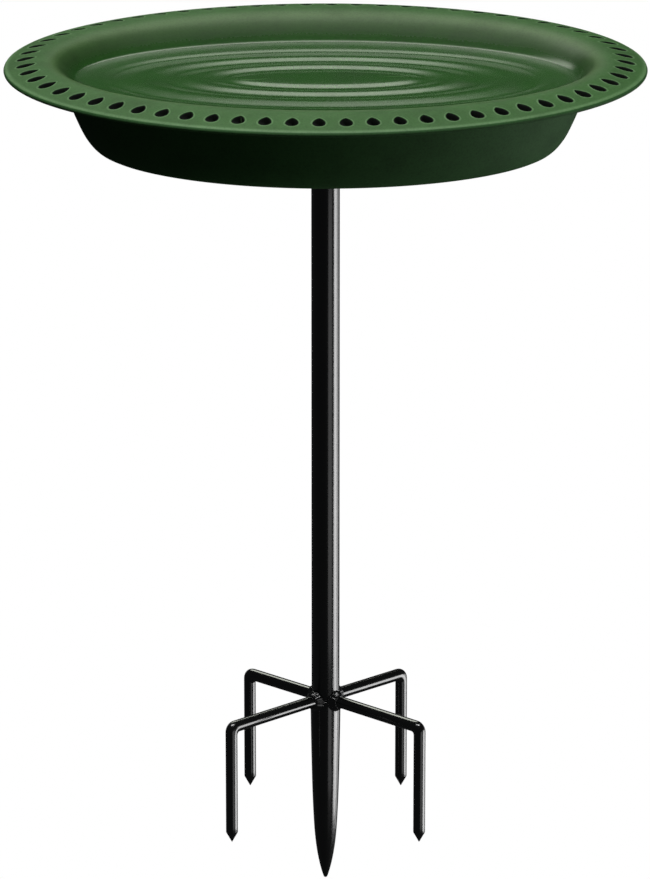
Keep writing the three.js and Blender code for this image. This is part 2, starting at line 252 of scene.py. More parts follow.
def knob_material():
    m = Nodes("black_moulded_plastic")
    s = m.shader
    spark = m.noise(1600.0, 2.0, 0.6)
    broad = m.noise(60.0, 3.0, 0.5)
    base = m.ramp(broad, [(0.3, (0.012, 0.012, 0.012)), (0.7, (0.022, 0.022, 0.023))])
    geometry = m.node("ShaderNodeNewGeometry")
    base = m.mix(m.span(geometry.outputs["Pointiness"], 0.54, 0.62, 0.0, 0.5), base, (0.07, 0.07, 0.07))
    m.link(base, s.inputs["Base Color"])
    m.link(m.span(spark, 0.3, 0.7, 0.42, 0.6), s.inputs["Roughness"])
    m.link(m.bump(spark, 0.35, 0.00025), s.inputs["Normal"])
    return m.material


DISH = dish_material()
PAINT = black_paint("gloss_black_powder_coat")
WELD = black_paint("gloss_black_over_weld", 3.0)
ZINC = zinc_material()
KNOB = knob_material()

# ------------------------------------------------------------------ mesh helpers


def make(name, verts, faces, material, body, nodes, sharp=40.0, merge=True):
    mesh = bpy.data.meshes.new(name)
    mesh.from_pydata([tuple(float(c) * MM for c in v) for v in verts], [], [tuple(int(i) for i in f) for f in faces])
    bm = bmesh.new()
    bm.from_mesh(mesh)
    if merge:
        bmesh.ops.remove_doubles(bm, verts=bm.verts, dist=1e-7)
    bmesh.ops.recalc_face_normals(bm, faces=bm.faces)
    bm.to_mesh(mesh)
    bm.free()
    for p in mesh.polygons:
        p.use_smooth = True
    mesh.set_sharp_from_angle(angle=math.radians(sharp))
    mesh.materials.append(material)
    obj = bpy.data.objects.new(name, mesh)
    scene.collection.objects.link(obj)
    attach(obj, body)
    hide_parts(*nodes)
    return obj


def smooth_rows(points, step):
    """Catmull-Rom curve through points of any dimension, sampled about every step."""
    p = np.array(points, float)
    out = [p[0]]
    for i in range(len(p) - 1):
        a = p[i - 1] if i else 2 * p[0] - p[1]
        b, c = p[i], p[i + 1]
        d = p[i + 2] if i + 2 < len(p) else 2 * p[-1] - p[-2]
        n = max(1, int(round(np.linalg.norm(c - b) / step)))
        for k in range(1, n + 1):
            t = k / n
            out.append(0.5 * ((2 * b) + (c - a) * t + (2 * a - 5 * b + 4 * c - d) * t * t + (3 * b - a - 3 * c + d) * t ** 3))
    return np.array(out)


def rounded(profile, radius=0.35, steps=3):
    """A profile of [r, z] corners with each corner inside it rounded off."""
    p = [np.array(q, float) for q in profile]
    out = [p[0]]
    for i in range(1, len(p) - 1):
        a, b, c = p[i - 1], p[i], p[i + 1]
        u, v = a - b, c - b
        lu, lv = np.linalg.norm(u), np.linalg.norm(v)
        cut = min(radius, 0.45 * lu, 0.45 * lv)
        s, e = b + u / lu * cut, b + v / lv * cut
        for k in range(steps + 1):
            t = k / steps
            out.append((1 - t) ** 2 * s + 2 * t * (1 - t) * b + t * t * e)
    out.append(p[-1])
    return out


def spun(profile, segments=96, closed=False):
    """Vertices and faces of a profile turned about Z. Points on the axis become one vertex."""
    verts, rows = [], []
    for r, z in profile:
        if r < 1e-6:
            rows.append([len(verts)])
            verts.append((0.0, 0.0, z))
        else:
            rows.append(list(range(len(verts), len(verts) + segments)))
            for i in range(segments):
                t = TAU * i / segments
                verts.append((r * math.cos(t), r * math.sin(t), z))
    faces = []
    pairs = list(zip(rows, rows[1:]))
    if closed:
        pairs.append((rows[-1], rows[0]))
    for a, b in pairs:
        for i in range(segments):
            j = (i + 1) % segments
            if len(a) == 1 and len(b) == 1:
                continue
            if len(a) == 1:
                faces.append((a[0], b[j], b[i]))
            elif len(b) == 1:
                faces.append((a[i], a[j], b[0]))
            else:
                faces.append((a[i], a[j], b[j], b[i]))
    return np.array(verts), faces


def turn_to_x(verts):
    """Z axis to X axis."""
    v = np.array(verts)
    return np.stack([v[:, 2], v[:, 1], -v[:, 0]], 1)


def spin_z(verts, angle):
    v = np.array(verts)
    c, s = math.cos(angle), math.sin(angle)
    return np.stack([c * v[:, 0] - s * v[:, 1], s * v[:, 0] + c * v[:, 1], v[:, 2]], 1)


def joined(parts):
    verts, faces, base = [], [], 0
    for v, f in parts:
        verts.append(np.array(v))
        faces += [tuple(i + base for i in face) for face in f]
        base += len(v)
    return np.concatenate(verts), faces


def pchip(xs, ys):
    """Monotone cubic through (xs, ys), as a function of an array."""
    x, y = np.array(xs, float), np.array(ys, float)
    h = np.diff(x)
    d = np.diff(y) / h
    m = np.zeros_like(x)
    for i in range(1, len(x) - 1):
        if d[i - 1] * d[i] > 0:
            w1, w2 = 2 * h[i] + h[i - 1], h[i] + 2 * h[i - 1]
            m[i] = (w1 + w2) / (w1 / d[i - 1] + w2 / d[i])
    m[0], m[-1] = d[0], d[-1]

    def f(q):
        q = np.asarray(q, float)
        i = np.clip(np.searchsorted(x, q, side="right") - 1, 0, len(h) - 1)
        t = (q - x[i]) / h[i]
        return (
            (1 + 2 * t) * (1 - t) ** 2 * y[i] + t * (1 - t) ** 2 * h[i] * m[i]
            + t * t * (3 - 2 * t) * y[i + 1] + t * t * (t - 1) * h[i] * m[i + 1]
        )

    return f


# ------------------------------------------------------------------ dish


def even_angles(a, b, count, start):
    steps = 7200
    i = np.arange(1, steps + 1)
    s = -math.pi / 2 + TAU * i / steps - math.pi / steps
    lengths = np.concatenate([[0], np.cumsum(np.hypot(a * np.sin(s), b * np.cos(s)) * (TAU / steps))])
    want = ((np.arange(count) + start) / count) * lengths[-1]
    turns = np.floor(want / lengths[-1])
    want = want - turns * lengths[-1]
    at = np.interp(want, lengths, np.arange(steps + 1))
    return -math.pi / 2 + TAU * (at / steps + turns)


# Half length of the oval section whose half width is w.
HALF_LENGTH = pchip(
    [0, 13.5, 20, 26, 32.5, 37.7, 43.5, 50, 56.3, 64, 71.5, 79, 108, 112.5, 124, 135.5, 138.8, 140],
    [0, 46, 56, 66, 78, 86.5, 96, 107, 115.5, 124.5, 132, 139, 153.5, 157, 166, 174.5, 177.8, 178.75],
)
TOP_LINE = pchip(
    [0, 11, 13.5, 17, 19.6, 20.8, 22.4, 24.6, 26.8, 28.4, 30, 33.3, 36.8, 38.6, 40.6, 42.8, 45.0, 46.6, 48.4, 53.2, 57.4, 59.2, 61.2, 63.4, 65.6, 68.4, 72, 77.5, 79,
     81, 84, 88, 92, 96, 100, 104, 108, 113, 115.5, 118, 121, 135.5, 137.4, 138.7, 139.6, 140],
    [-7.0, -7.0, -7.12, -7.6, -7.95, -8.02, -7.9, -7.58, -7.26, -7.12, -7.15, -7.55, -7.98, -8.05, -7.85, -7.54, -7.24, -7.12, -7.14, -7.5, -7.9, -8.03, -7.84, -7.54, -7.32, -7.22, -7.1, -6.95, -6.85,
     -6.3, -5.1, -3.2, -1.4, 0.15, 1.45, 2.5, 3.3, 3.9, 4.0, 3.8, 3.35, 0.95, 0.55, 0.1, -0.6, -1.4],
)


def top_height(w):
    return TOP_LINE(w)


def under_height(w):
    return -0.35 - (np.asarray(w, float) - 112) * 0.076


def w_of(x, y):
    """The half width of the oval section through each point of the rim."""
    lo, hi = np.full(len(x), 60.0), np.full(len(x), 145.0)
    for _ in range(34):
        mid = (lo + hi) / 2
        inside = (x / HALF_LENGTH(np.minimum(mid, 140))) ** 2 + (y / mid) ** 2 > 1
        lo, hi = np.where(inside, mid, lo), np.where(inside, hi, mid)
    return (lo + hi) / 2


def build_dish():
    per = 8
    columns = SLOTS * per
    bounds = even_angles(178.75, 140, SLOTS, SLOT_PHASE - 0.5)
    bounds = np.append(bounds, bounds[0] + TAU)
    t = np.concatenate([np.linspace(bounds[k], bounds[k + 1], per, endpoint=False) for k in range(SLOTS)])
    cos, sin = np.cos(t), np.sin(t)
    verts, faces = [], []

    def ring(a, b, z):
        start = sum(len(v) for v in verts)
        verts.append(np.stack([a * cos, b * sin, np.broadcast_to(RIM_Z + z, t.shape)], 1))
        return start + np.arange(columns)

    def point(p):
        start = sum(len(v) for v in verts)
        verts.append(np.array([p], float))
        return start

    def points(p):
        start = sum(len(v) for v in verts)
        verts.append(np.array(p, float))
        return start + np.arange(len(p))

    def strip(a, b):
        n = len(a)
        for i in range(n):
            j = (i + 1) % n
            faces.append((a[i], a[j], b[j], b[i]))

    # Top: middle of the floor out to the slots' band.
    w_in, w_out = 116.0, 134.5
    ws = np.concatenate([[4.5, 9.0], np.arange(13.5, 114.0, 1.15), [114.9, w_in]])
    centre = point([0, 0, RIM_Z + float(top_height(0.0))])
    rows = [ring(HALF_LENGTH(w), w, top_height(w)) for w in ws]
    for i in range(columns):
        faces.append((centre, rows[0][i], rows[0][(i + 1) % columns]))
    for a, b in zip(rows, rows[1:]):
        strip(a, b)
    top_in = rows[-1]
    # Lip: slots' band out round the edge and back underneath.
    lip = [(w, top_height(w)) for w in (w_out, 136.0, 137.4, 138.4, 139.2, 139.75, 140.0)]
    rows = [ring(HALF_LENGTH(w), w, z) for w, z in lip]
    under = smooth_rows([(178.75, 140.0, -1.4), (178.6, 139.8, -2.1), (177.9, 139.1, -2.75), (176.6, 137.8, -2.85),
                         (175.0, 136.2, -2.35), (HALF_LENGTH(w_out), w_out, under_height(w_out))], 0.6)[1:]
    rows += [ring(a, b, z) for a, b, z in under]
    for a, b in zip(rows, rows[1:]):
        strip(a, b)
    top_out, under_out = rows[0], rows[-1]

    # The band itself, one cell for each slot.
    sides = 8
    levels = np.linspace(w_in, w_out, sides + 1)[1:-1]
    tb = bounds[:-1]

    def side_points(height):
        return [points(np.stack([HALF_LENGTH(levels) * math.cos(a), levels * math.sin(a), RIM_Z + height(levels)], 1)) for a in tb]

    top_side, under_side = side_points(top_height), side_points(under_height)
    under_in = ring(HALF_LENGTH(w_in), w_in, under_height(w_in))
    slot_t = even_angles(166.5, 127.5, SLOTS, SLOT_PHASE)
    slot_rim_highlight, shaded = [], []
    half_l, half_w = 5.2, 3.9

    def outline(phi, grow):
        # phi 0 points at the inner, sharper end.
        s = np.sin(phi)
        belly = np.abs(np.sin(phi / 2)) ** 0.55
        x = -(half_l + grow) * np.cos(phi)
        y = (half_w + grow) * s * belly * 1.04 + grow * 0.25 * s * (1 - belly)
        return x, y

    for k in range(SLOTS):
        nxt = (k + 1) % SLOTS
        cols = [(k * per + i) % columns for i in range(per + 1)]
        c = np.array([166.5 * math.cos(slot_t[k]), 127.5 * math.sin(slot_t[k])])
        n = np.array([127.5 * math.cos(slot_t[k]), 166.5 * math.sin(slot_t[k])])
        n /= np.linalg.norm(n)
        q = np.array([-n[1], n[0]])

        def around(inner, outer, side):
            loop = [inner[i] for i in cols]
            loop += list(side[nxt])
            loop += [outer[i] for i in reversed(cols)]
            loop += list(side[k][::-1])
            return loop

        top_loop = around(top_in, top_out, top_side)
        under_loop = around(under_in, under_out, under_side)
        flat = np.concatenate(verts)
        edge = flat[top_loop][:, :2] - c
        ex, ey = edge @ n, edge @ q
        phi = np.arctan2(ey / 7.4, -ex / 8.8)
        phi = np.where(phi < 0, phi + TAU, phi)
        m = len(top_loop)

        def loop_at(grow, blend_to, height, lift):
            x, y = outline(phi, grow)
            x = x * (1 - blend_to) + ex * blend_to
            y = y * (1 - blend_to) + ey * blend_to
            xy = c + np.outer(x, n) + np.outer(y, q)
            z = height(w_of(xy[:, 0], xy[:, 1])) + lift + RIM_Z
            return points(np.column_stack([xy, z]))

        loops = [np.array(top_loop)]
        loops.append(loop_at(1.5, 0.45, top_height, 0.0))
        loops.append(loop_at(1.45, 0.0, top_height, 0.0))
        loops.append(loop_at(1.1, 0.0, top_height, 0.08))
        loops.append(loop_at(0.8, 0.0, top_height, 0.22))
        loops.append(loop_at(0.5, 0.0, top_height, 0.26))
        loops.append(loop_at(0.22, 0.0, top_height, 0.14))
        loops.append(loop_at(0.02, 0.0, top_height, -0.12))
        loops.append(loop_at(-0.12, 0.0, top_height, -0.5))
        # These loops on the bead round the slot get a painted highlight.
        slot_rim_highlight.extend(int(i) for loop in loops[3:7] for i in loop)
        loops.append(loop_at(-0.16, 0.0, top_height, -0.75))
        first_dark = len(loops) - 3
        loops.append(loop_at(-0.18, 0.0, lambda w: (top_height(w) + under_height(w)) / 2, 0.0))
        loops.append(loop_at(-0.2, 0.0, under_height, 0.25))
        loops.append(loop_at(-0.1, 0.0, under_height, 0.05))
        loops.append(loop_at(0.2, 0.0, under_height, 0.0))
        # These loops down into the slot get painted shade, near black.
        shaded.extend(int(i) for loop in loops[first_dark:] for i in loop)
        loops.append(loop_at(1.5, 0.45, under_height, 0.0))
        loops.append(np.array(under_loop))
        for a, b in zip(loops, loops[1:]):
            for i in range(m):
                j = (i + 1) % m
                faces.append((a[i], a[j], b[j], b[i]))

    # Underside of the rim, the skirt, its lower edge and its inside.
    skirt = smooth_rows([
        (HALF_LENGTH(w_in), w_in, float(under_height(w_in))), (156.5, 113.6, -0.45), (152.8, 111.8, -0.35), (150.6, 110.6, -0.8), (149.1, 109.8, -2.0),
        (148.0, 108.9, -4.0), (146.8, 107.5, -7.0), (145.2, 105.6, -10.5), (142.8, 103.0, -18), (139.9, 100.2, -26), (135.9, 96.6, -35.0),
        (133.1, 94.0, -39.8), (130.4, 91.6, -43.2), (128.2, 89.5, -45.1), (126.6, 88.2, -45.85), (125.4, 87.1, -45.95), (124.7, 86.4, -45.4),
        (124.8, 86.3, -44.4), (126.4, 87.7, -42.4), (128.8, 89.8, -39.6), (132.8, 93.2, -34.0), (136.6, 96.8, -26.5), (138.6, 98.7, -21),
    ], 1.6)[1:]
    rows = [under_in] + [ring(a, b, z) for a, b, z in skirt]
    s2 = np.sin(t) ** 2
    foot, head = np.array([139, 79, -7.2]), np.array([153.5, 108, 3.3])

    def wall_row(s, drop, a_in=0.0):
        a = foot[0] + (head[0] - foot[0]) * s - a_in
        b = foot[1] + (head[1] - foot[1]) * s - a_in
        z = foot[2] + (head[2] - foot[2]) * s - drop
        return ring(a, b, z)

    rows.append(wall_row(0.13 + 0.54 * s2, 5.6))
    rows.append(wall_row(0.125 + 0.52 * s2, 4.3))
    rows.append(wall_row(0.10 + 0.47 * s2, 3.6))
    rows.append(wall_row(0.07 + 0.35 * s2, 3.4))
    rows.append(wall_row(0.03 + 0.18 * s2, 3.4))
    rows.append(wall_row(0.0 + 0.03 * s2, 3.5))
    for a, b, z in smooth_rows([(134, 74, -10.9), (124.5, 64, -11.0), (107, 50, -11.0), (86.5, 37.7, -11.0), (60, 30, -11.0), (40, 24, -11.0), (16, 12, -11.0)], 6.0):
        rows.append(ring(a, b, z))
    for a, b in zip(rows, rows[1:]):
        strip(a, b)
    last = point([0, 0, RIM_Z - 11.0])
    for i in range(columns):
        faces.append((last, rows[-1][(i + 1) % columns], rows[-1][i]))
    v = np.concatenate(verts)

    # Screw bosses under the floor, each with its pilot hole.
    parts = [(v, faces)]
    end = PLATE_TOP + 0.3
    for sx in (-1, 1):
        for sy in (-1, 1):
            bv, bf = spun([(0, 476.5), (2.1, 476.5), (2.1, end + 0.35), (2.45, end), (4.1, end), (4.4, end + 0.3), (4.6, 475.0), (5.4, 476.2), (0, 477.2)], 48)
            parts.append((bv + np.array([sx * 18.0, sy * 18.0, 0]), bf))
    return (*joined(parts), slot_rim_highlight, shaded)


v, f, slot_rim_highlight, shaded = build_dish()
dish = make("dish_tray", v, f, DISH, "tray", ["dish"], 50, merge=False)


def zones(mesh):
    """Zone of each vertex, from its place on the moulding."""
    co = np.empty(len(mesh.vertices) * 3)
    mesh.vertices.foreach_get("co", co)
    co = co.reshape(-1, 3) / MM
    no = np.empty(len(mesh.vertices) * 3)
    mesh.vertices.foreach_get("normal", no)
    no = no.reshape(-1, 3)
    x, y = co[:, 0], co[:, 1]
    lo, hi = np.zeros(len(x)), np.full(len(x), 141.0)
    for _ in range(34):
        mid = (lo + hi) / 2
        inside = (x / np.maximum(HALF_LENGTH(np.minimum(mid, 140)), 1e-6)) ** 2 + (y / np.maximum(mid, 1e-6)) ** 2 > 1
        lo, hi = np.where(inside, mid, lo), np.where(inside, hi, mid)
    w = (lo + hi) / 2
    zone = np.interp(w, [0, 72, 80, 90, 97, 104, 113, 137, 138, 140], [0, 0, 1, 2, 2.2, 2.7, 3, 3.2, 4, 4])
    under = (co[:, 2] - RIM_Z < top_height(np.minimum(w, 140)) - 1.2) & (no[:, 2] < 0.5)
    zone = np.where(under, 5.0, zone)
    zone = np.where((w > 136.5) & (co[:, 2] - RIM_Z < -0.85), 5.0, zone)
    # Painted highlight on the bead round each slot.
    zone[slot_rim_highlight] = 3.75
    # Painted shade inside the slots, near black.
    zone[shaded] = 6.0
    return zone.astype(np.float32)


zone = dish.data.attributes.new("zone", "FLOAT", "POINT")
zone.data.foreach_set("value", zones(dish.data))

# ------------------------------------------------------------------ flange, screws and clamp


def cut(obj, cutters):
    """Boolean cuts, applied."""
    for cv, cf in cutters:
        mesh = bpy.data.meshes.new("cutter")
        mesh.from_pydata([tuple(float(c) * MM for c in p) for p in cv], [], [tuple(map(int, face)) for face in cf])
        bm = bmesh.new()
        bm.from_mesh(mesh)
        bmesh.ops.recalc_face_normals(bm, faces=bm.faces)
        bm.to_mesh(mesh)
        bm.free()
        tool = bpy.data.objects.new("cutter", mesh)
        scene.collection.objects.link(tool)
        mod = obj.modifiers.new("cut", "BOOLEAN")
        mod.operation = "DIFFERENCE"
        mod.solver = "EXACT"
        mod.object = tool
        bpy.context.view_layer.update()
        done = bpy.data.meshes.new_from_object(obj.evaluated_get(bpy.context.evaluated_depsgraph_get()))
        obj.modifiers.clear()
        old = obj.data
        obj.data = done
        bpy.data.meshes.remove(old)
        bpy.data.objects.remove(tool)
        bpy.data.meshes.remove(mesh)
    for p in obj.data.polygons:
        p.use_smooth = True
    obj.data.set_sharp_from_angle(angle=math.radians(35))


flange_profile = rounded([
    (0, PLATE_BOTTOM), (8.4, PLATE_BOTTOM), (8.4, SOCKET_END + 0.6), (9.0, SOCKET_END), (10.1, SOCKET_END), (10.4, SOCKET_END + 0.5),
    (10.4, PLATE_BOTTOM - 2.6), (11.2, PLATE_BOTTOM - 1.0), (13.4, PLATE_BOTTOM), (31.7, PLATE_BOTTOM), (32, PLATE_BOTTOM + 0.5),
    (32, PLATE_TOP - 0.5), (31.6, PLATE_TOP), (0, PLATE_TOP),
], 0.5, 3)
fv, ff = spun(flange_profile, 128)
flange = make("flange_with_socket", fv, ff, PAINT, "tray", ["socket_flange"], 35)
hole_cutters = []
for sx in (-1, 1):
    for sy in (-1, 1):
        hv, hf = spun([(0, PLATE_BOTTOM - 2), (2.3, PLATE_BOTTOM - 2), (2.3, PLATE_TOP + 2), (0, PLATE_TOP + 2)], 32)
        hole_cutters.append((hv + np.array([sx * 18.0, sy * 18.0, 0]), hf))
cv, cf = spun([(0, 7.5), (2.75, 7.5), (2.75, 12), (0, 12)], 32)
cv = turn_to_x(cv)
hole_cutters.append((cv + np.array([0, 0, CLAMP_Z]), cf))
cut(flange, hole_cutters)

# Hexagon nut welded to the socket for the clamp screw, chamfered, with its weld.
hexa = []
for ring_r, ring_x in ((6.2, 10.0), (6.2, 15.2), (5.7, 16.0)):
    hexa.append([(ring_r * math.cos(TAU * i / 6), ring_r * math.sin(TAU * i / 6), ring_x) for i in range(6)])
inner = [[(2.75 * math.cos(TAU * i / 6), 2.75 * math.sin(TAU * i / 6), x) for i in range(6)] for x in (16.0, 10.0)]
rings = hexa + inner
nv = np.array([p for r in rings for p in r])
nf = []
for a in range(len(rings)):
    b = (a + 1) % len(rings)
    for i in range(6):
        j = (i + 1) % 6
        nf.append((a * 6 + i, a * 6 + j, b * 6 + j, b * 6 + i))
nut_mesh = bpy.data.meshes.new("socket_nut")
nut_v = turn_to_x(nv) + np.array([0, 0, CLAMP_Z])
nut_mesh.from_pydata([tuple(p * MM) for p in nut_v], [], nf)
nut = bpy.data.objects.new("socket_nut", nut_mesh)
scene.collection.objects.link(nut)
bevel = nut.modifiers.new("bevel", "BEVEL")
bevel.width = 0.0003
bevel.segments = 2
bevel.limit_method = "ANGLE"
bpy.context.view_layer.update()
done = bpy.data.meshes.new_from_object(nut.evaluated_get(bpy.context.evaluated_depsgraph_get()))
nut.modifiers.clear()
nut.data = done
bm = bmesh.new()
bm.from_mesh(nut.data)
bmesh.ops.recalc_face_normals(bm, faces=bm.faces)
bm.to_mesh(nut.data)
bm.free()
for p in nut.data.polygons:
    p.use_smooth = True
nut.data.set_sharp_from_angle(angle=math.radians(30))
nut.data.materials.append(PAINT)
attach(nut, "tray")

# Bead that joins the nut to the socket.
bead_v, bead_f = [], []
N, K = 72, 8
for i in range(N):
    a = TAU * i / N
    ripple = 1 + 0.05 * math.sin(a * 17) + 0.03 * math.sin(a * 5 + 1)
    rho0 = 6.4
    for j in range(K):
        b = TAU * j / K
        rho = rho0 + 1.0 * ripple * math.cos(b)
        y, z = rho * math.cos(a), rho * math.sin(a)
        surface = math.sqrt(max(10.4 ** 2 - y * y, 1.0))
        x = surface + 0.35 + 0.95 * ripple * math.sin(b)
        bead_v.append((x, y, z + CLAMP_Z))
for i in range(N):
    for j in range(K):
        i2, j2 = (i + 1) % N, (j + 1) % K
        bead_f.append((i * K + j, i2 * K + j, i2 * K + j2, i * K + j2))
mesh = bpy.data.meshes.new("nut_weld")
mesh.from_pydata([tuple(c * MM for c in p) for p in bead_v], [], bead_f)
bm = bmesh.new(); bm.from_mesh(mesh); bmesh.ops.recalc_face_normals(bm, faces=bm.faces); bm.to_mesh(mesh); bm.free()
for p in mesh.polygons:
    p.use_smooth = True
mesh.materials.append(WELD)
nut_weld = bpy.data.objects.new("nut_weld", mesh)
scene.collection.objects.link(nut_weld)
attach(nut_weld, "tray")

under_plate = PLATE_BOTTOM - 0.3
for where, sx, sy in (("front_left", -1, -1), ("front_right", 1, -1), ("back_left", -1, 1), ("back_right", 1, 1)):
    head = rounded([(0, under_plate - 2.5), (1.6, under_plate - 2.45), (2.9, under_plate - 2.0), (3.55, under_plate - 1.1), (3.6, under_plate - 0.1), (3.5, under_plate),
                    (1.8, under_plate), (1.8, 474.8), (0, 476.1)], 0.25, 2)
    sv, sf = spun(head, 48)
    screw = make(f"pan_screw_{where}", sv + np.array([sx * 18.0, sy * 18.0, 0]), sf, ZINC, "tray", [f"flange_screw_{where}"], 30)
    # Cross recess.
    cutters = []
    turn = 0.4 + 0.9 * sx + 0.5 * sy
    for extra in (0, math.pi / 2):
        box = np.array([(x, y, z) for x in (-2.1, 2.1) for y in (-0.45, 0.45) for z in (under_plate - 3.2, under_plate - 1.2)])
        c, s = math.cos(turn + extra), math.sin(turn + extra)
        box = np.stack([c * box[:, 0] - s * box[:, 1] + sx * 18.0, s * box[:, 0] + c * box[:, 1] + sy * 18.0, box[:, 2]], 1)
        cutters.append((box, [(0, 1, 3, 2), (4, 6, 7, 5), (0, 4, 5, 1), (2, 3, 7, 6), (0, 2, 6, 4), (1, 5, 7, 3)]))
    cut(screw, cutters)

# Clamp screw with a real thread, and its lobed knob.
thread = []
pitch, r_out, r_in = 0.8, 2.5, 2.12
length0, length1 = 8.5, 33.9
turns = (length1 - length0) / pitch
per_turn = 36
sv, sf = [], []
profile_n = 4
count = int(turns * per_turn)
for i in range(count + 1):
    a = TAU * i / per_turn
    z = length0 + 0.5 * pitch + (length1 - length0 - pitch) * i / count
    taper = min(1.0, i / per_turn, (count - i) / per_turn)
    top = r_in + (r_out - r_in) * taper
    for dz, r in ((-0.5 * pitch, r_in), (-0.08, top), (0.08, top), (0.5 * pitch, r_in)):
        sv.append((r * math.cos(a), r * math.sin(a), z + dz * 0.999))
    sv.append(((r_in - 0.3) * math.cos(a), (r_in - 0.3) * math.sin(a), z))
K = 5
for i in range(count):
    for j in range(K):
        j2 = (j + 1) % K
        sf.append((i * K + j, (i + 1) * K + j, (i + 1) * K + j2, i * K + j2))
sf.append(tuple(range(K)))
sf.append(tuple(count * K + j for j in reversed(range(K))))
core_v, core_f = spun(rounded([(0, 8.4), (1.7, 8.4), (2.1, 9.1), (2.1, 33.6), (1.8, 34.0), (0, 34.0)], 0.3, 2), 36)
tv, tf = joined([(np.array(sv), sf), (core_v, core_f)])
tv = turn_to_x(tv) + np.array([0, 0, CLAMP_Z])
make("clamp_screw_threaded", tv, tf, ZINC, "clamp", ["clamp_screw"], 30)

lobes = []
KN = 144
for r_scale, inset, x in ((0.0, 0, 24.5), (0.45, 0.0, 24.5), (1.0, 0.9, 24.5), (1.0, 0.35, 24.75), (1.0, 0.08, 25.2), (1.0, 0.0, 25.9), (1.0, 0.0, 32.1),
                          (1.0, 0.08, 32.8), (1.0, 0.35, 33.2), (1.0, 0.9, 33.45), (0.62, 0.0, 33.45), (0.56, 0.0, 33.0), (0.36, 0.0, 32.9)):
    lobes.append((r_scale, inset, x))
kv, kf, krows = [], [], []
for r_scale, inset, x in lobes:
    row = []
    if r_scale == 0.0:
        continue
    for i in range(KN):
        a = TAU * i / KN
        r = (8.6 + 0.9 * math.cos(6 * a) - inset) if r_scale == 1.0 else 8.2 * r_scale
        row.append(len(kv))
        kv.append((r * math.cos(a), r * math.sin(a), x))
    krows.append(row)
bore = []
for x in (32.9, 24.5):
    row = []
    for i in range(KN):
        a = TAU * i / KN
        row.append(len(kv))
        kv.append((2.8 * math.cos(a), 2.8 * math.sin(a), x))
    bore.append(row)
krows += bore
for a, b in zip(krows, krows[1:] + krows[:1]):
    for i in range(KN):
        j = (i + 1) % KN
        kf.append((a[i], a[j], b[j], b[i]))
kv = turn_to_x(np.array(kv)) + np.array([0, 0, CLAMP_Z])
make("clamp_knob_lobed", kv, kf, KNOB, "clamp", ["clamp_knob"], 35)

# ------------------------------------------------------------------ tube and its plug

tube_profile = rounded([
    (6.5, TUBE_FOOT + 0.2), (6.7, TUBE_FOOT), (7.75, TUBE_FOOT), (8.0, TUBE_FOOT + 0.35),
    (8.0, TUBE_TOP - 0.35), (7.75, TUBE_TOP), (6.7, TUBE_TOP), (6.5, TUBE_TOP - 0.2),
], 0.12, 2)
tv, tf = spun(tube_profile, 160, closed=True)
make("tube", tv, tf, PAINT, "pole", ["pole_tube"], 35)

plug_profile = rounded([
    (0, TUBE_TOP - 16), (5.4, TUBE_TOP - 16), (6.2, TUBE_TOP - 14.4), (6.2, TUBE_TOP - 10.5), (5.9, TUBE_TOP - 10.1), (6.2, TUBE_TOP - 9.7),
    (6.2, TUBE_TOP - 0.8), (5.7, TUBE_TOP - 0.3), (0, TUBE_TOP - 0.3),
], 0.25, 2)
pv, pf = spun(plug_profile, 64)
make("tube_plug", pv, pf, KNOB, "pole", ["pole_top_plug"], 35)

# ------------------------------------------------------------------ stake

body = smooth_rows([
    (0.0, 0.0), (0.9, 0.55), (1.85, 3.2), (2.95, 7.2), (4.05, 12.2), (4.98, 17.6), (5.8, 24), (6.5, 32), (7.1, 43), (7.6, 56), (8.0, 72), (8.35, 90),
    (8.6, SEAM_Z - 6), (8.6, SEAM_Z - 2.6),
], 0.9)
body[:, 0] = np.maximum(body[:, 0], 0.0)
spike_profile = [tuple(p) for p in body]
spike_profile[0] = (0.0, 0.0)
spike_profile += [
    (8.66, SEAM_Z - 2.3), (8.84, SEAM_Z - 2.0), (8.96, SEAM_Z - 1.6), (9.0, SEAM_Z - 1.2), (8.94, SEAM_Z - 0.75), (8.78, SEAM_Z - 0.35), (8.5, SEAM_Z - 0.1), (8.1, SEAM_Z),
    (6.5, SEAM_Z), (6.25, SEAM_Z + 0.1), (6.2, SEAM_Z + 0.4), (6.2, SPIGOT_TOP - 2.2), (6.05, SPIGOT_TOP - 1.8), (4.95, SPIGOT_TOP - 0.15), (4.6, SPIGOT_TOP), (0.0, SPIGOT_TOP),
]
kv, kf = spun(spike_profile, 144)
make("spike_forged", kv, kf, PAINT, "stake", ["spike"], 35)

ROD_START = 9.1


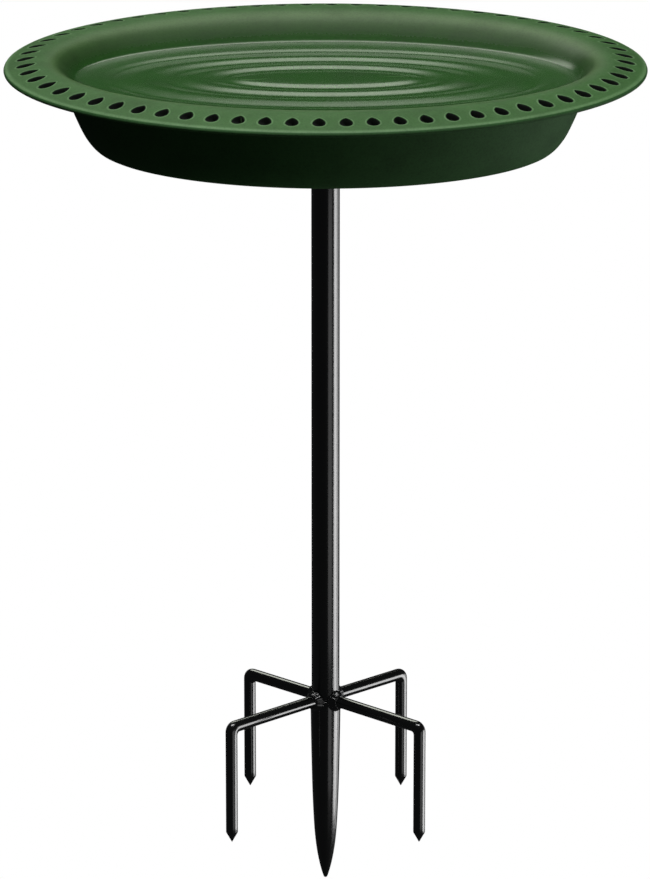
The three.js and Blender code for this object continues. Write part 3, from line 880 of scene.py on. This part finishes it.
def build_prong(reach):
    """Level arm, tight bend and straight leg with a ground point, in the X-Z plane."""
    sides = 40
    rows = []

    def section(px, pz, angle, radius, tall=None):
        up = np.array([math.sin(angle), 0, math.cos(angle)])
        tall = radius if tall is None else tall
        rows.append([np.array([px, 0, pz]) + up * tall * math.cos(TAU * i / sides) + np.array([0, radius * math.sin(TAU * i / sides), 0]) for i in range(sides)])

    # The bend's outer corner is fuller than its inner one, as a hot bent rod's is.
    inner_r, outer_r = 1.5, 6.0
    inner_c = np.array([reach - ROD_R - inner_r, ARM_Z - ROD_R - inner_r])
    outer_c = np.array([reach + ROD_R - outer_r, ARM_Z + ROD_R - outer_r])
    for x in np.linspace(ROD_START, min(inner_c[0], outer_c[0]) - 0.4, 14):
        section(x, ARM_Z, 0.0, ROD_R)
    for k in range(0, 15):
        a = math.pi / 2 * k / 14
        d = np.array([math.sin(a), math.cos(a)])
        p, q = inner_c + inner_r * d, outer_c + outer_r * d
        mid, across = (p + q) / 2, q - p
        section(mid[0], mid[1], math.atan2(across[0], across[1]), ROD_R, np.linalg.norm(across) / 2)
    for z in np.linspace(min(inner_c[1], outer_c[1]) - 0.4, PRONG_TIP + 6.4, 16):
        section(reach, z, math.pi / 2, ROD_R)
    for dz, r in ((6.0, 3.34), (5.6, 3.18), (4.4, 2.5), (3.0, 1.75), (1.6, 0.98), (0.7, 0.52), (0.22, 0.3)):
        section(reach, PRONG_TIP + dz, math.pi / 2, r)
    verts = [p for row in rows for p in row]
    n = sides
    faces = []
    for a in range(len(rows) - 1):
        for i in range(n):
            j = (i + 1) % n
            faces.append((a * n + i, a * n + j, (a + 1) * n + j, (a + 1) * n + i))
    start, end = len(verts), len(verts) + 1
    verts += [np.array([ROD_START, 0, ARM_Z]), np.array([reach, 0, PRONG_TIP])]
    last = (len(rows) - 1) * n
    for i in range(n):
        j = (i + 1) % n
        faces.append((start, i, j))
        faces.append((end, last + j, last + i))
    return np.array(verts), faces


def build_weld(seed):
    """Fillet weld round a prong's root, lying on the rod and on the round stake, with the ripples of its passes."""
    n, verts, faces = 120, [], []
    section = [(3.1, 3.0), (3.5, 3.05), (3.95, 2.75), (4.45, 2.15), (4.95, 1.45), (5.4, 0.8), (5.75, 0.25), (5.75, -0.35), (3.1, -0.35)]
    for i in range(n):
        a = TAU * i / n
        wob = 0.10 * math.sin(13 * a + seed) + 0.06 * math.sin(5 * a + 2.3 * seed) + 0.05 * math.sin(29 * a + seed * 1.7)
        low = max(0.0, -math.cos(a))
        for j, (rho, out) in enumerate(section):
            outer = 1.0 if 1 <= j <= 6 else 0.0
            rr = rho + outer * (wob * 0.8 + 0.5 * low * (rho - 3.1) / 2.6)
            y, z = rr * math.sin(a), rr * math.cos(a)
            surface = math.sqrt(8.6 ** 2 - min(y * y, 60.0))
            verts.append((surface + out + outer * wob * 0.7, y, ARM_Z + z))
    k = len(section)
    for i in range(n):
        i2 = (i + 1) % n
        for j in range(k):
            j2 = (j + 1) % k
            faces.append((i * k + j, i2 * k + j, i2 * k + j2, i * k + j2))
    return np.array(verts), faces


for index, (where, x, y) in enumerate((
    ("front_left", -FRONT_BEND[0], -FRONT_BEND[1]), ("front_right", FRONT_BEND[0], -FRONT_BEND[1]),
    ("back_left", -BACK_BEND[0], BACK_BEND[1]), ("back_right", BACK_BEND[0], BACK_BEND[1]),
)):
    angle = math.atan2(y, x)
    pv, pf = build_prong(math.hypot(x, y))
    make(f"bent_rod_{where}", spin_z(pv, angle), pf, PAINT, "stake", [f"prong_{where}"], 40)
    wv, wf = build_weld(1.0 + 1.9 * index)
    make(f"fillet_weld_{where}", spin_z(wv, angle), wf, WELD, "stake", [f"weld_{where}"], 60)

# ------------------------------------------------------------------ stage, light and camera

floor_mesh = bpy.data.meshes.new("floor")
floor_mesh.from_pydata([(-9, -9, 0), (9, -9, 0), (9, 14, 0), (-9, 14, 0)], [], [(0, 1, 2, 3)])
floor = bpy.data.objects.new("floor", floor_mesh)
scene.collection.objects.link(floor)
floor.location.z = -0.0005
floor_material = bpy.data.materials.new("pale_floor")
floor_material.use_nodes = True
tree = floor_material.node_tree
tree.nodes.clear()
out = tree.nodes.new("ShaderNodeOutputMaterial")
glow = tree.nodes.new("ShaderNodeEmission")
glow.inputs["Color"].default_value = (1, 1, 1, 1)
glow.inputs["Strength"].default_value = 1.0
tree.links.new(glow.outputs[0], out.inputs[0])
floor_mesh.materials.append(floor_material)
floor.visible_diffuse = False
floor.visible_glossy = False
floor.visible_shadow = False
floor.visible_transmission = False

world = bpy.data.worlds.new("studio")
scene.world = world
world.use_nodes = True
world.node_tree.nodes.clear()
wt = world.node_tree
w_out_node = wt.nodes.new("ShaderNodeOutputWorld")
w_bg = wt.nodes.new("ShaderNodeBackground")
w_bg.inputs["Color"].default_value = (0.93, 0.96, 1.0, 1)
w_bg.inputs["Strength"].default_value = 0.02
wt.links.new(w_bg.outputs[0], w_out_node.inputs[0])


def panel(name, azimuth, elevation, distance, size, power, spread=180.0, colour=(1, 1, 1), aim=(0, 0, 0.3)):
    """Soft box seen from the object at that azimuth (0 is the camera's side, +90 is +X) and elevation."""
    data = bpy.data.lights.new(name, "AREA")
    data.shape = "RECTANGLE"
    data.size, data.size_y = size
    data.energy = power
    data.color = colour
    data.spread = math.radians(spread)
    obj = bpy.data.objects.new(name, data)
    scene.collection.objects.link(obj)
    a, e = math.radians(azimuth), math.radians(elevation)
    target = Vector(aim)
    place = target + distance * Vector((math.sin(a) * math.cos(e), -math.cos(a) * math.cos(e), math.sin(e)))
    obj.location = place
    obj.rotation_euler = (target - place).to_track_quat("-Z", "Y").to_euler()
    return obj


panel("key_overhead", -12, 80, 1.6, (1.3, 1.1), 26, aim=(0, 0, 0.48))
panel("back_soft", 192, 37, 2.2, (1.4, 0.66), 8.2, aim=(0, 0, 0.48), colour=(0.96, 1.0, 0.88))
panel("side_strip", 87, -18, 1.6, (0.80, 0.85), 7.6, aim=(0, 0, 0.26))
panel("back_right_strip", 115, -18, 1.7, (0.80, 0.9), 2.6, aim=(0, 0, 0.26))
panel("far_right_strip", 146, -18, 1.7, (0.90, 0.9), 0.06, aim=(0, 0, 0.26))
panel("front_right_fill", 38, -18, 1.7, (0.9, 0.8), 0.9, aim=(0, 0, 0.26))

camera_data = bpy.data.cameras.new("camera")
camera_data.lens = 243.730
camera_data.sensor_width = 36.0
camera_data.clip_end = 60.0
camera = bpy.data.objects.new("camera", camera_data)
scene.collection.objects.link(camera)
camera.location = (-0.0003, -3.2, 1.3356)
camera.rotation_euler = (math.radians(90 - 18.449), 0, 0)
scene.camera = camera

scene.view_settings.view_transform = "Standard"
scene.view_settings.look = "None"
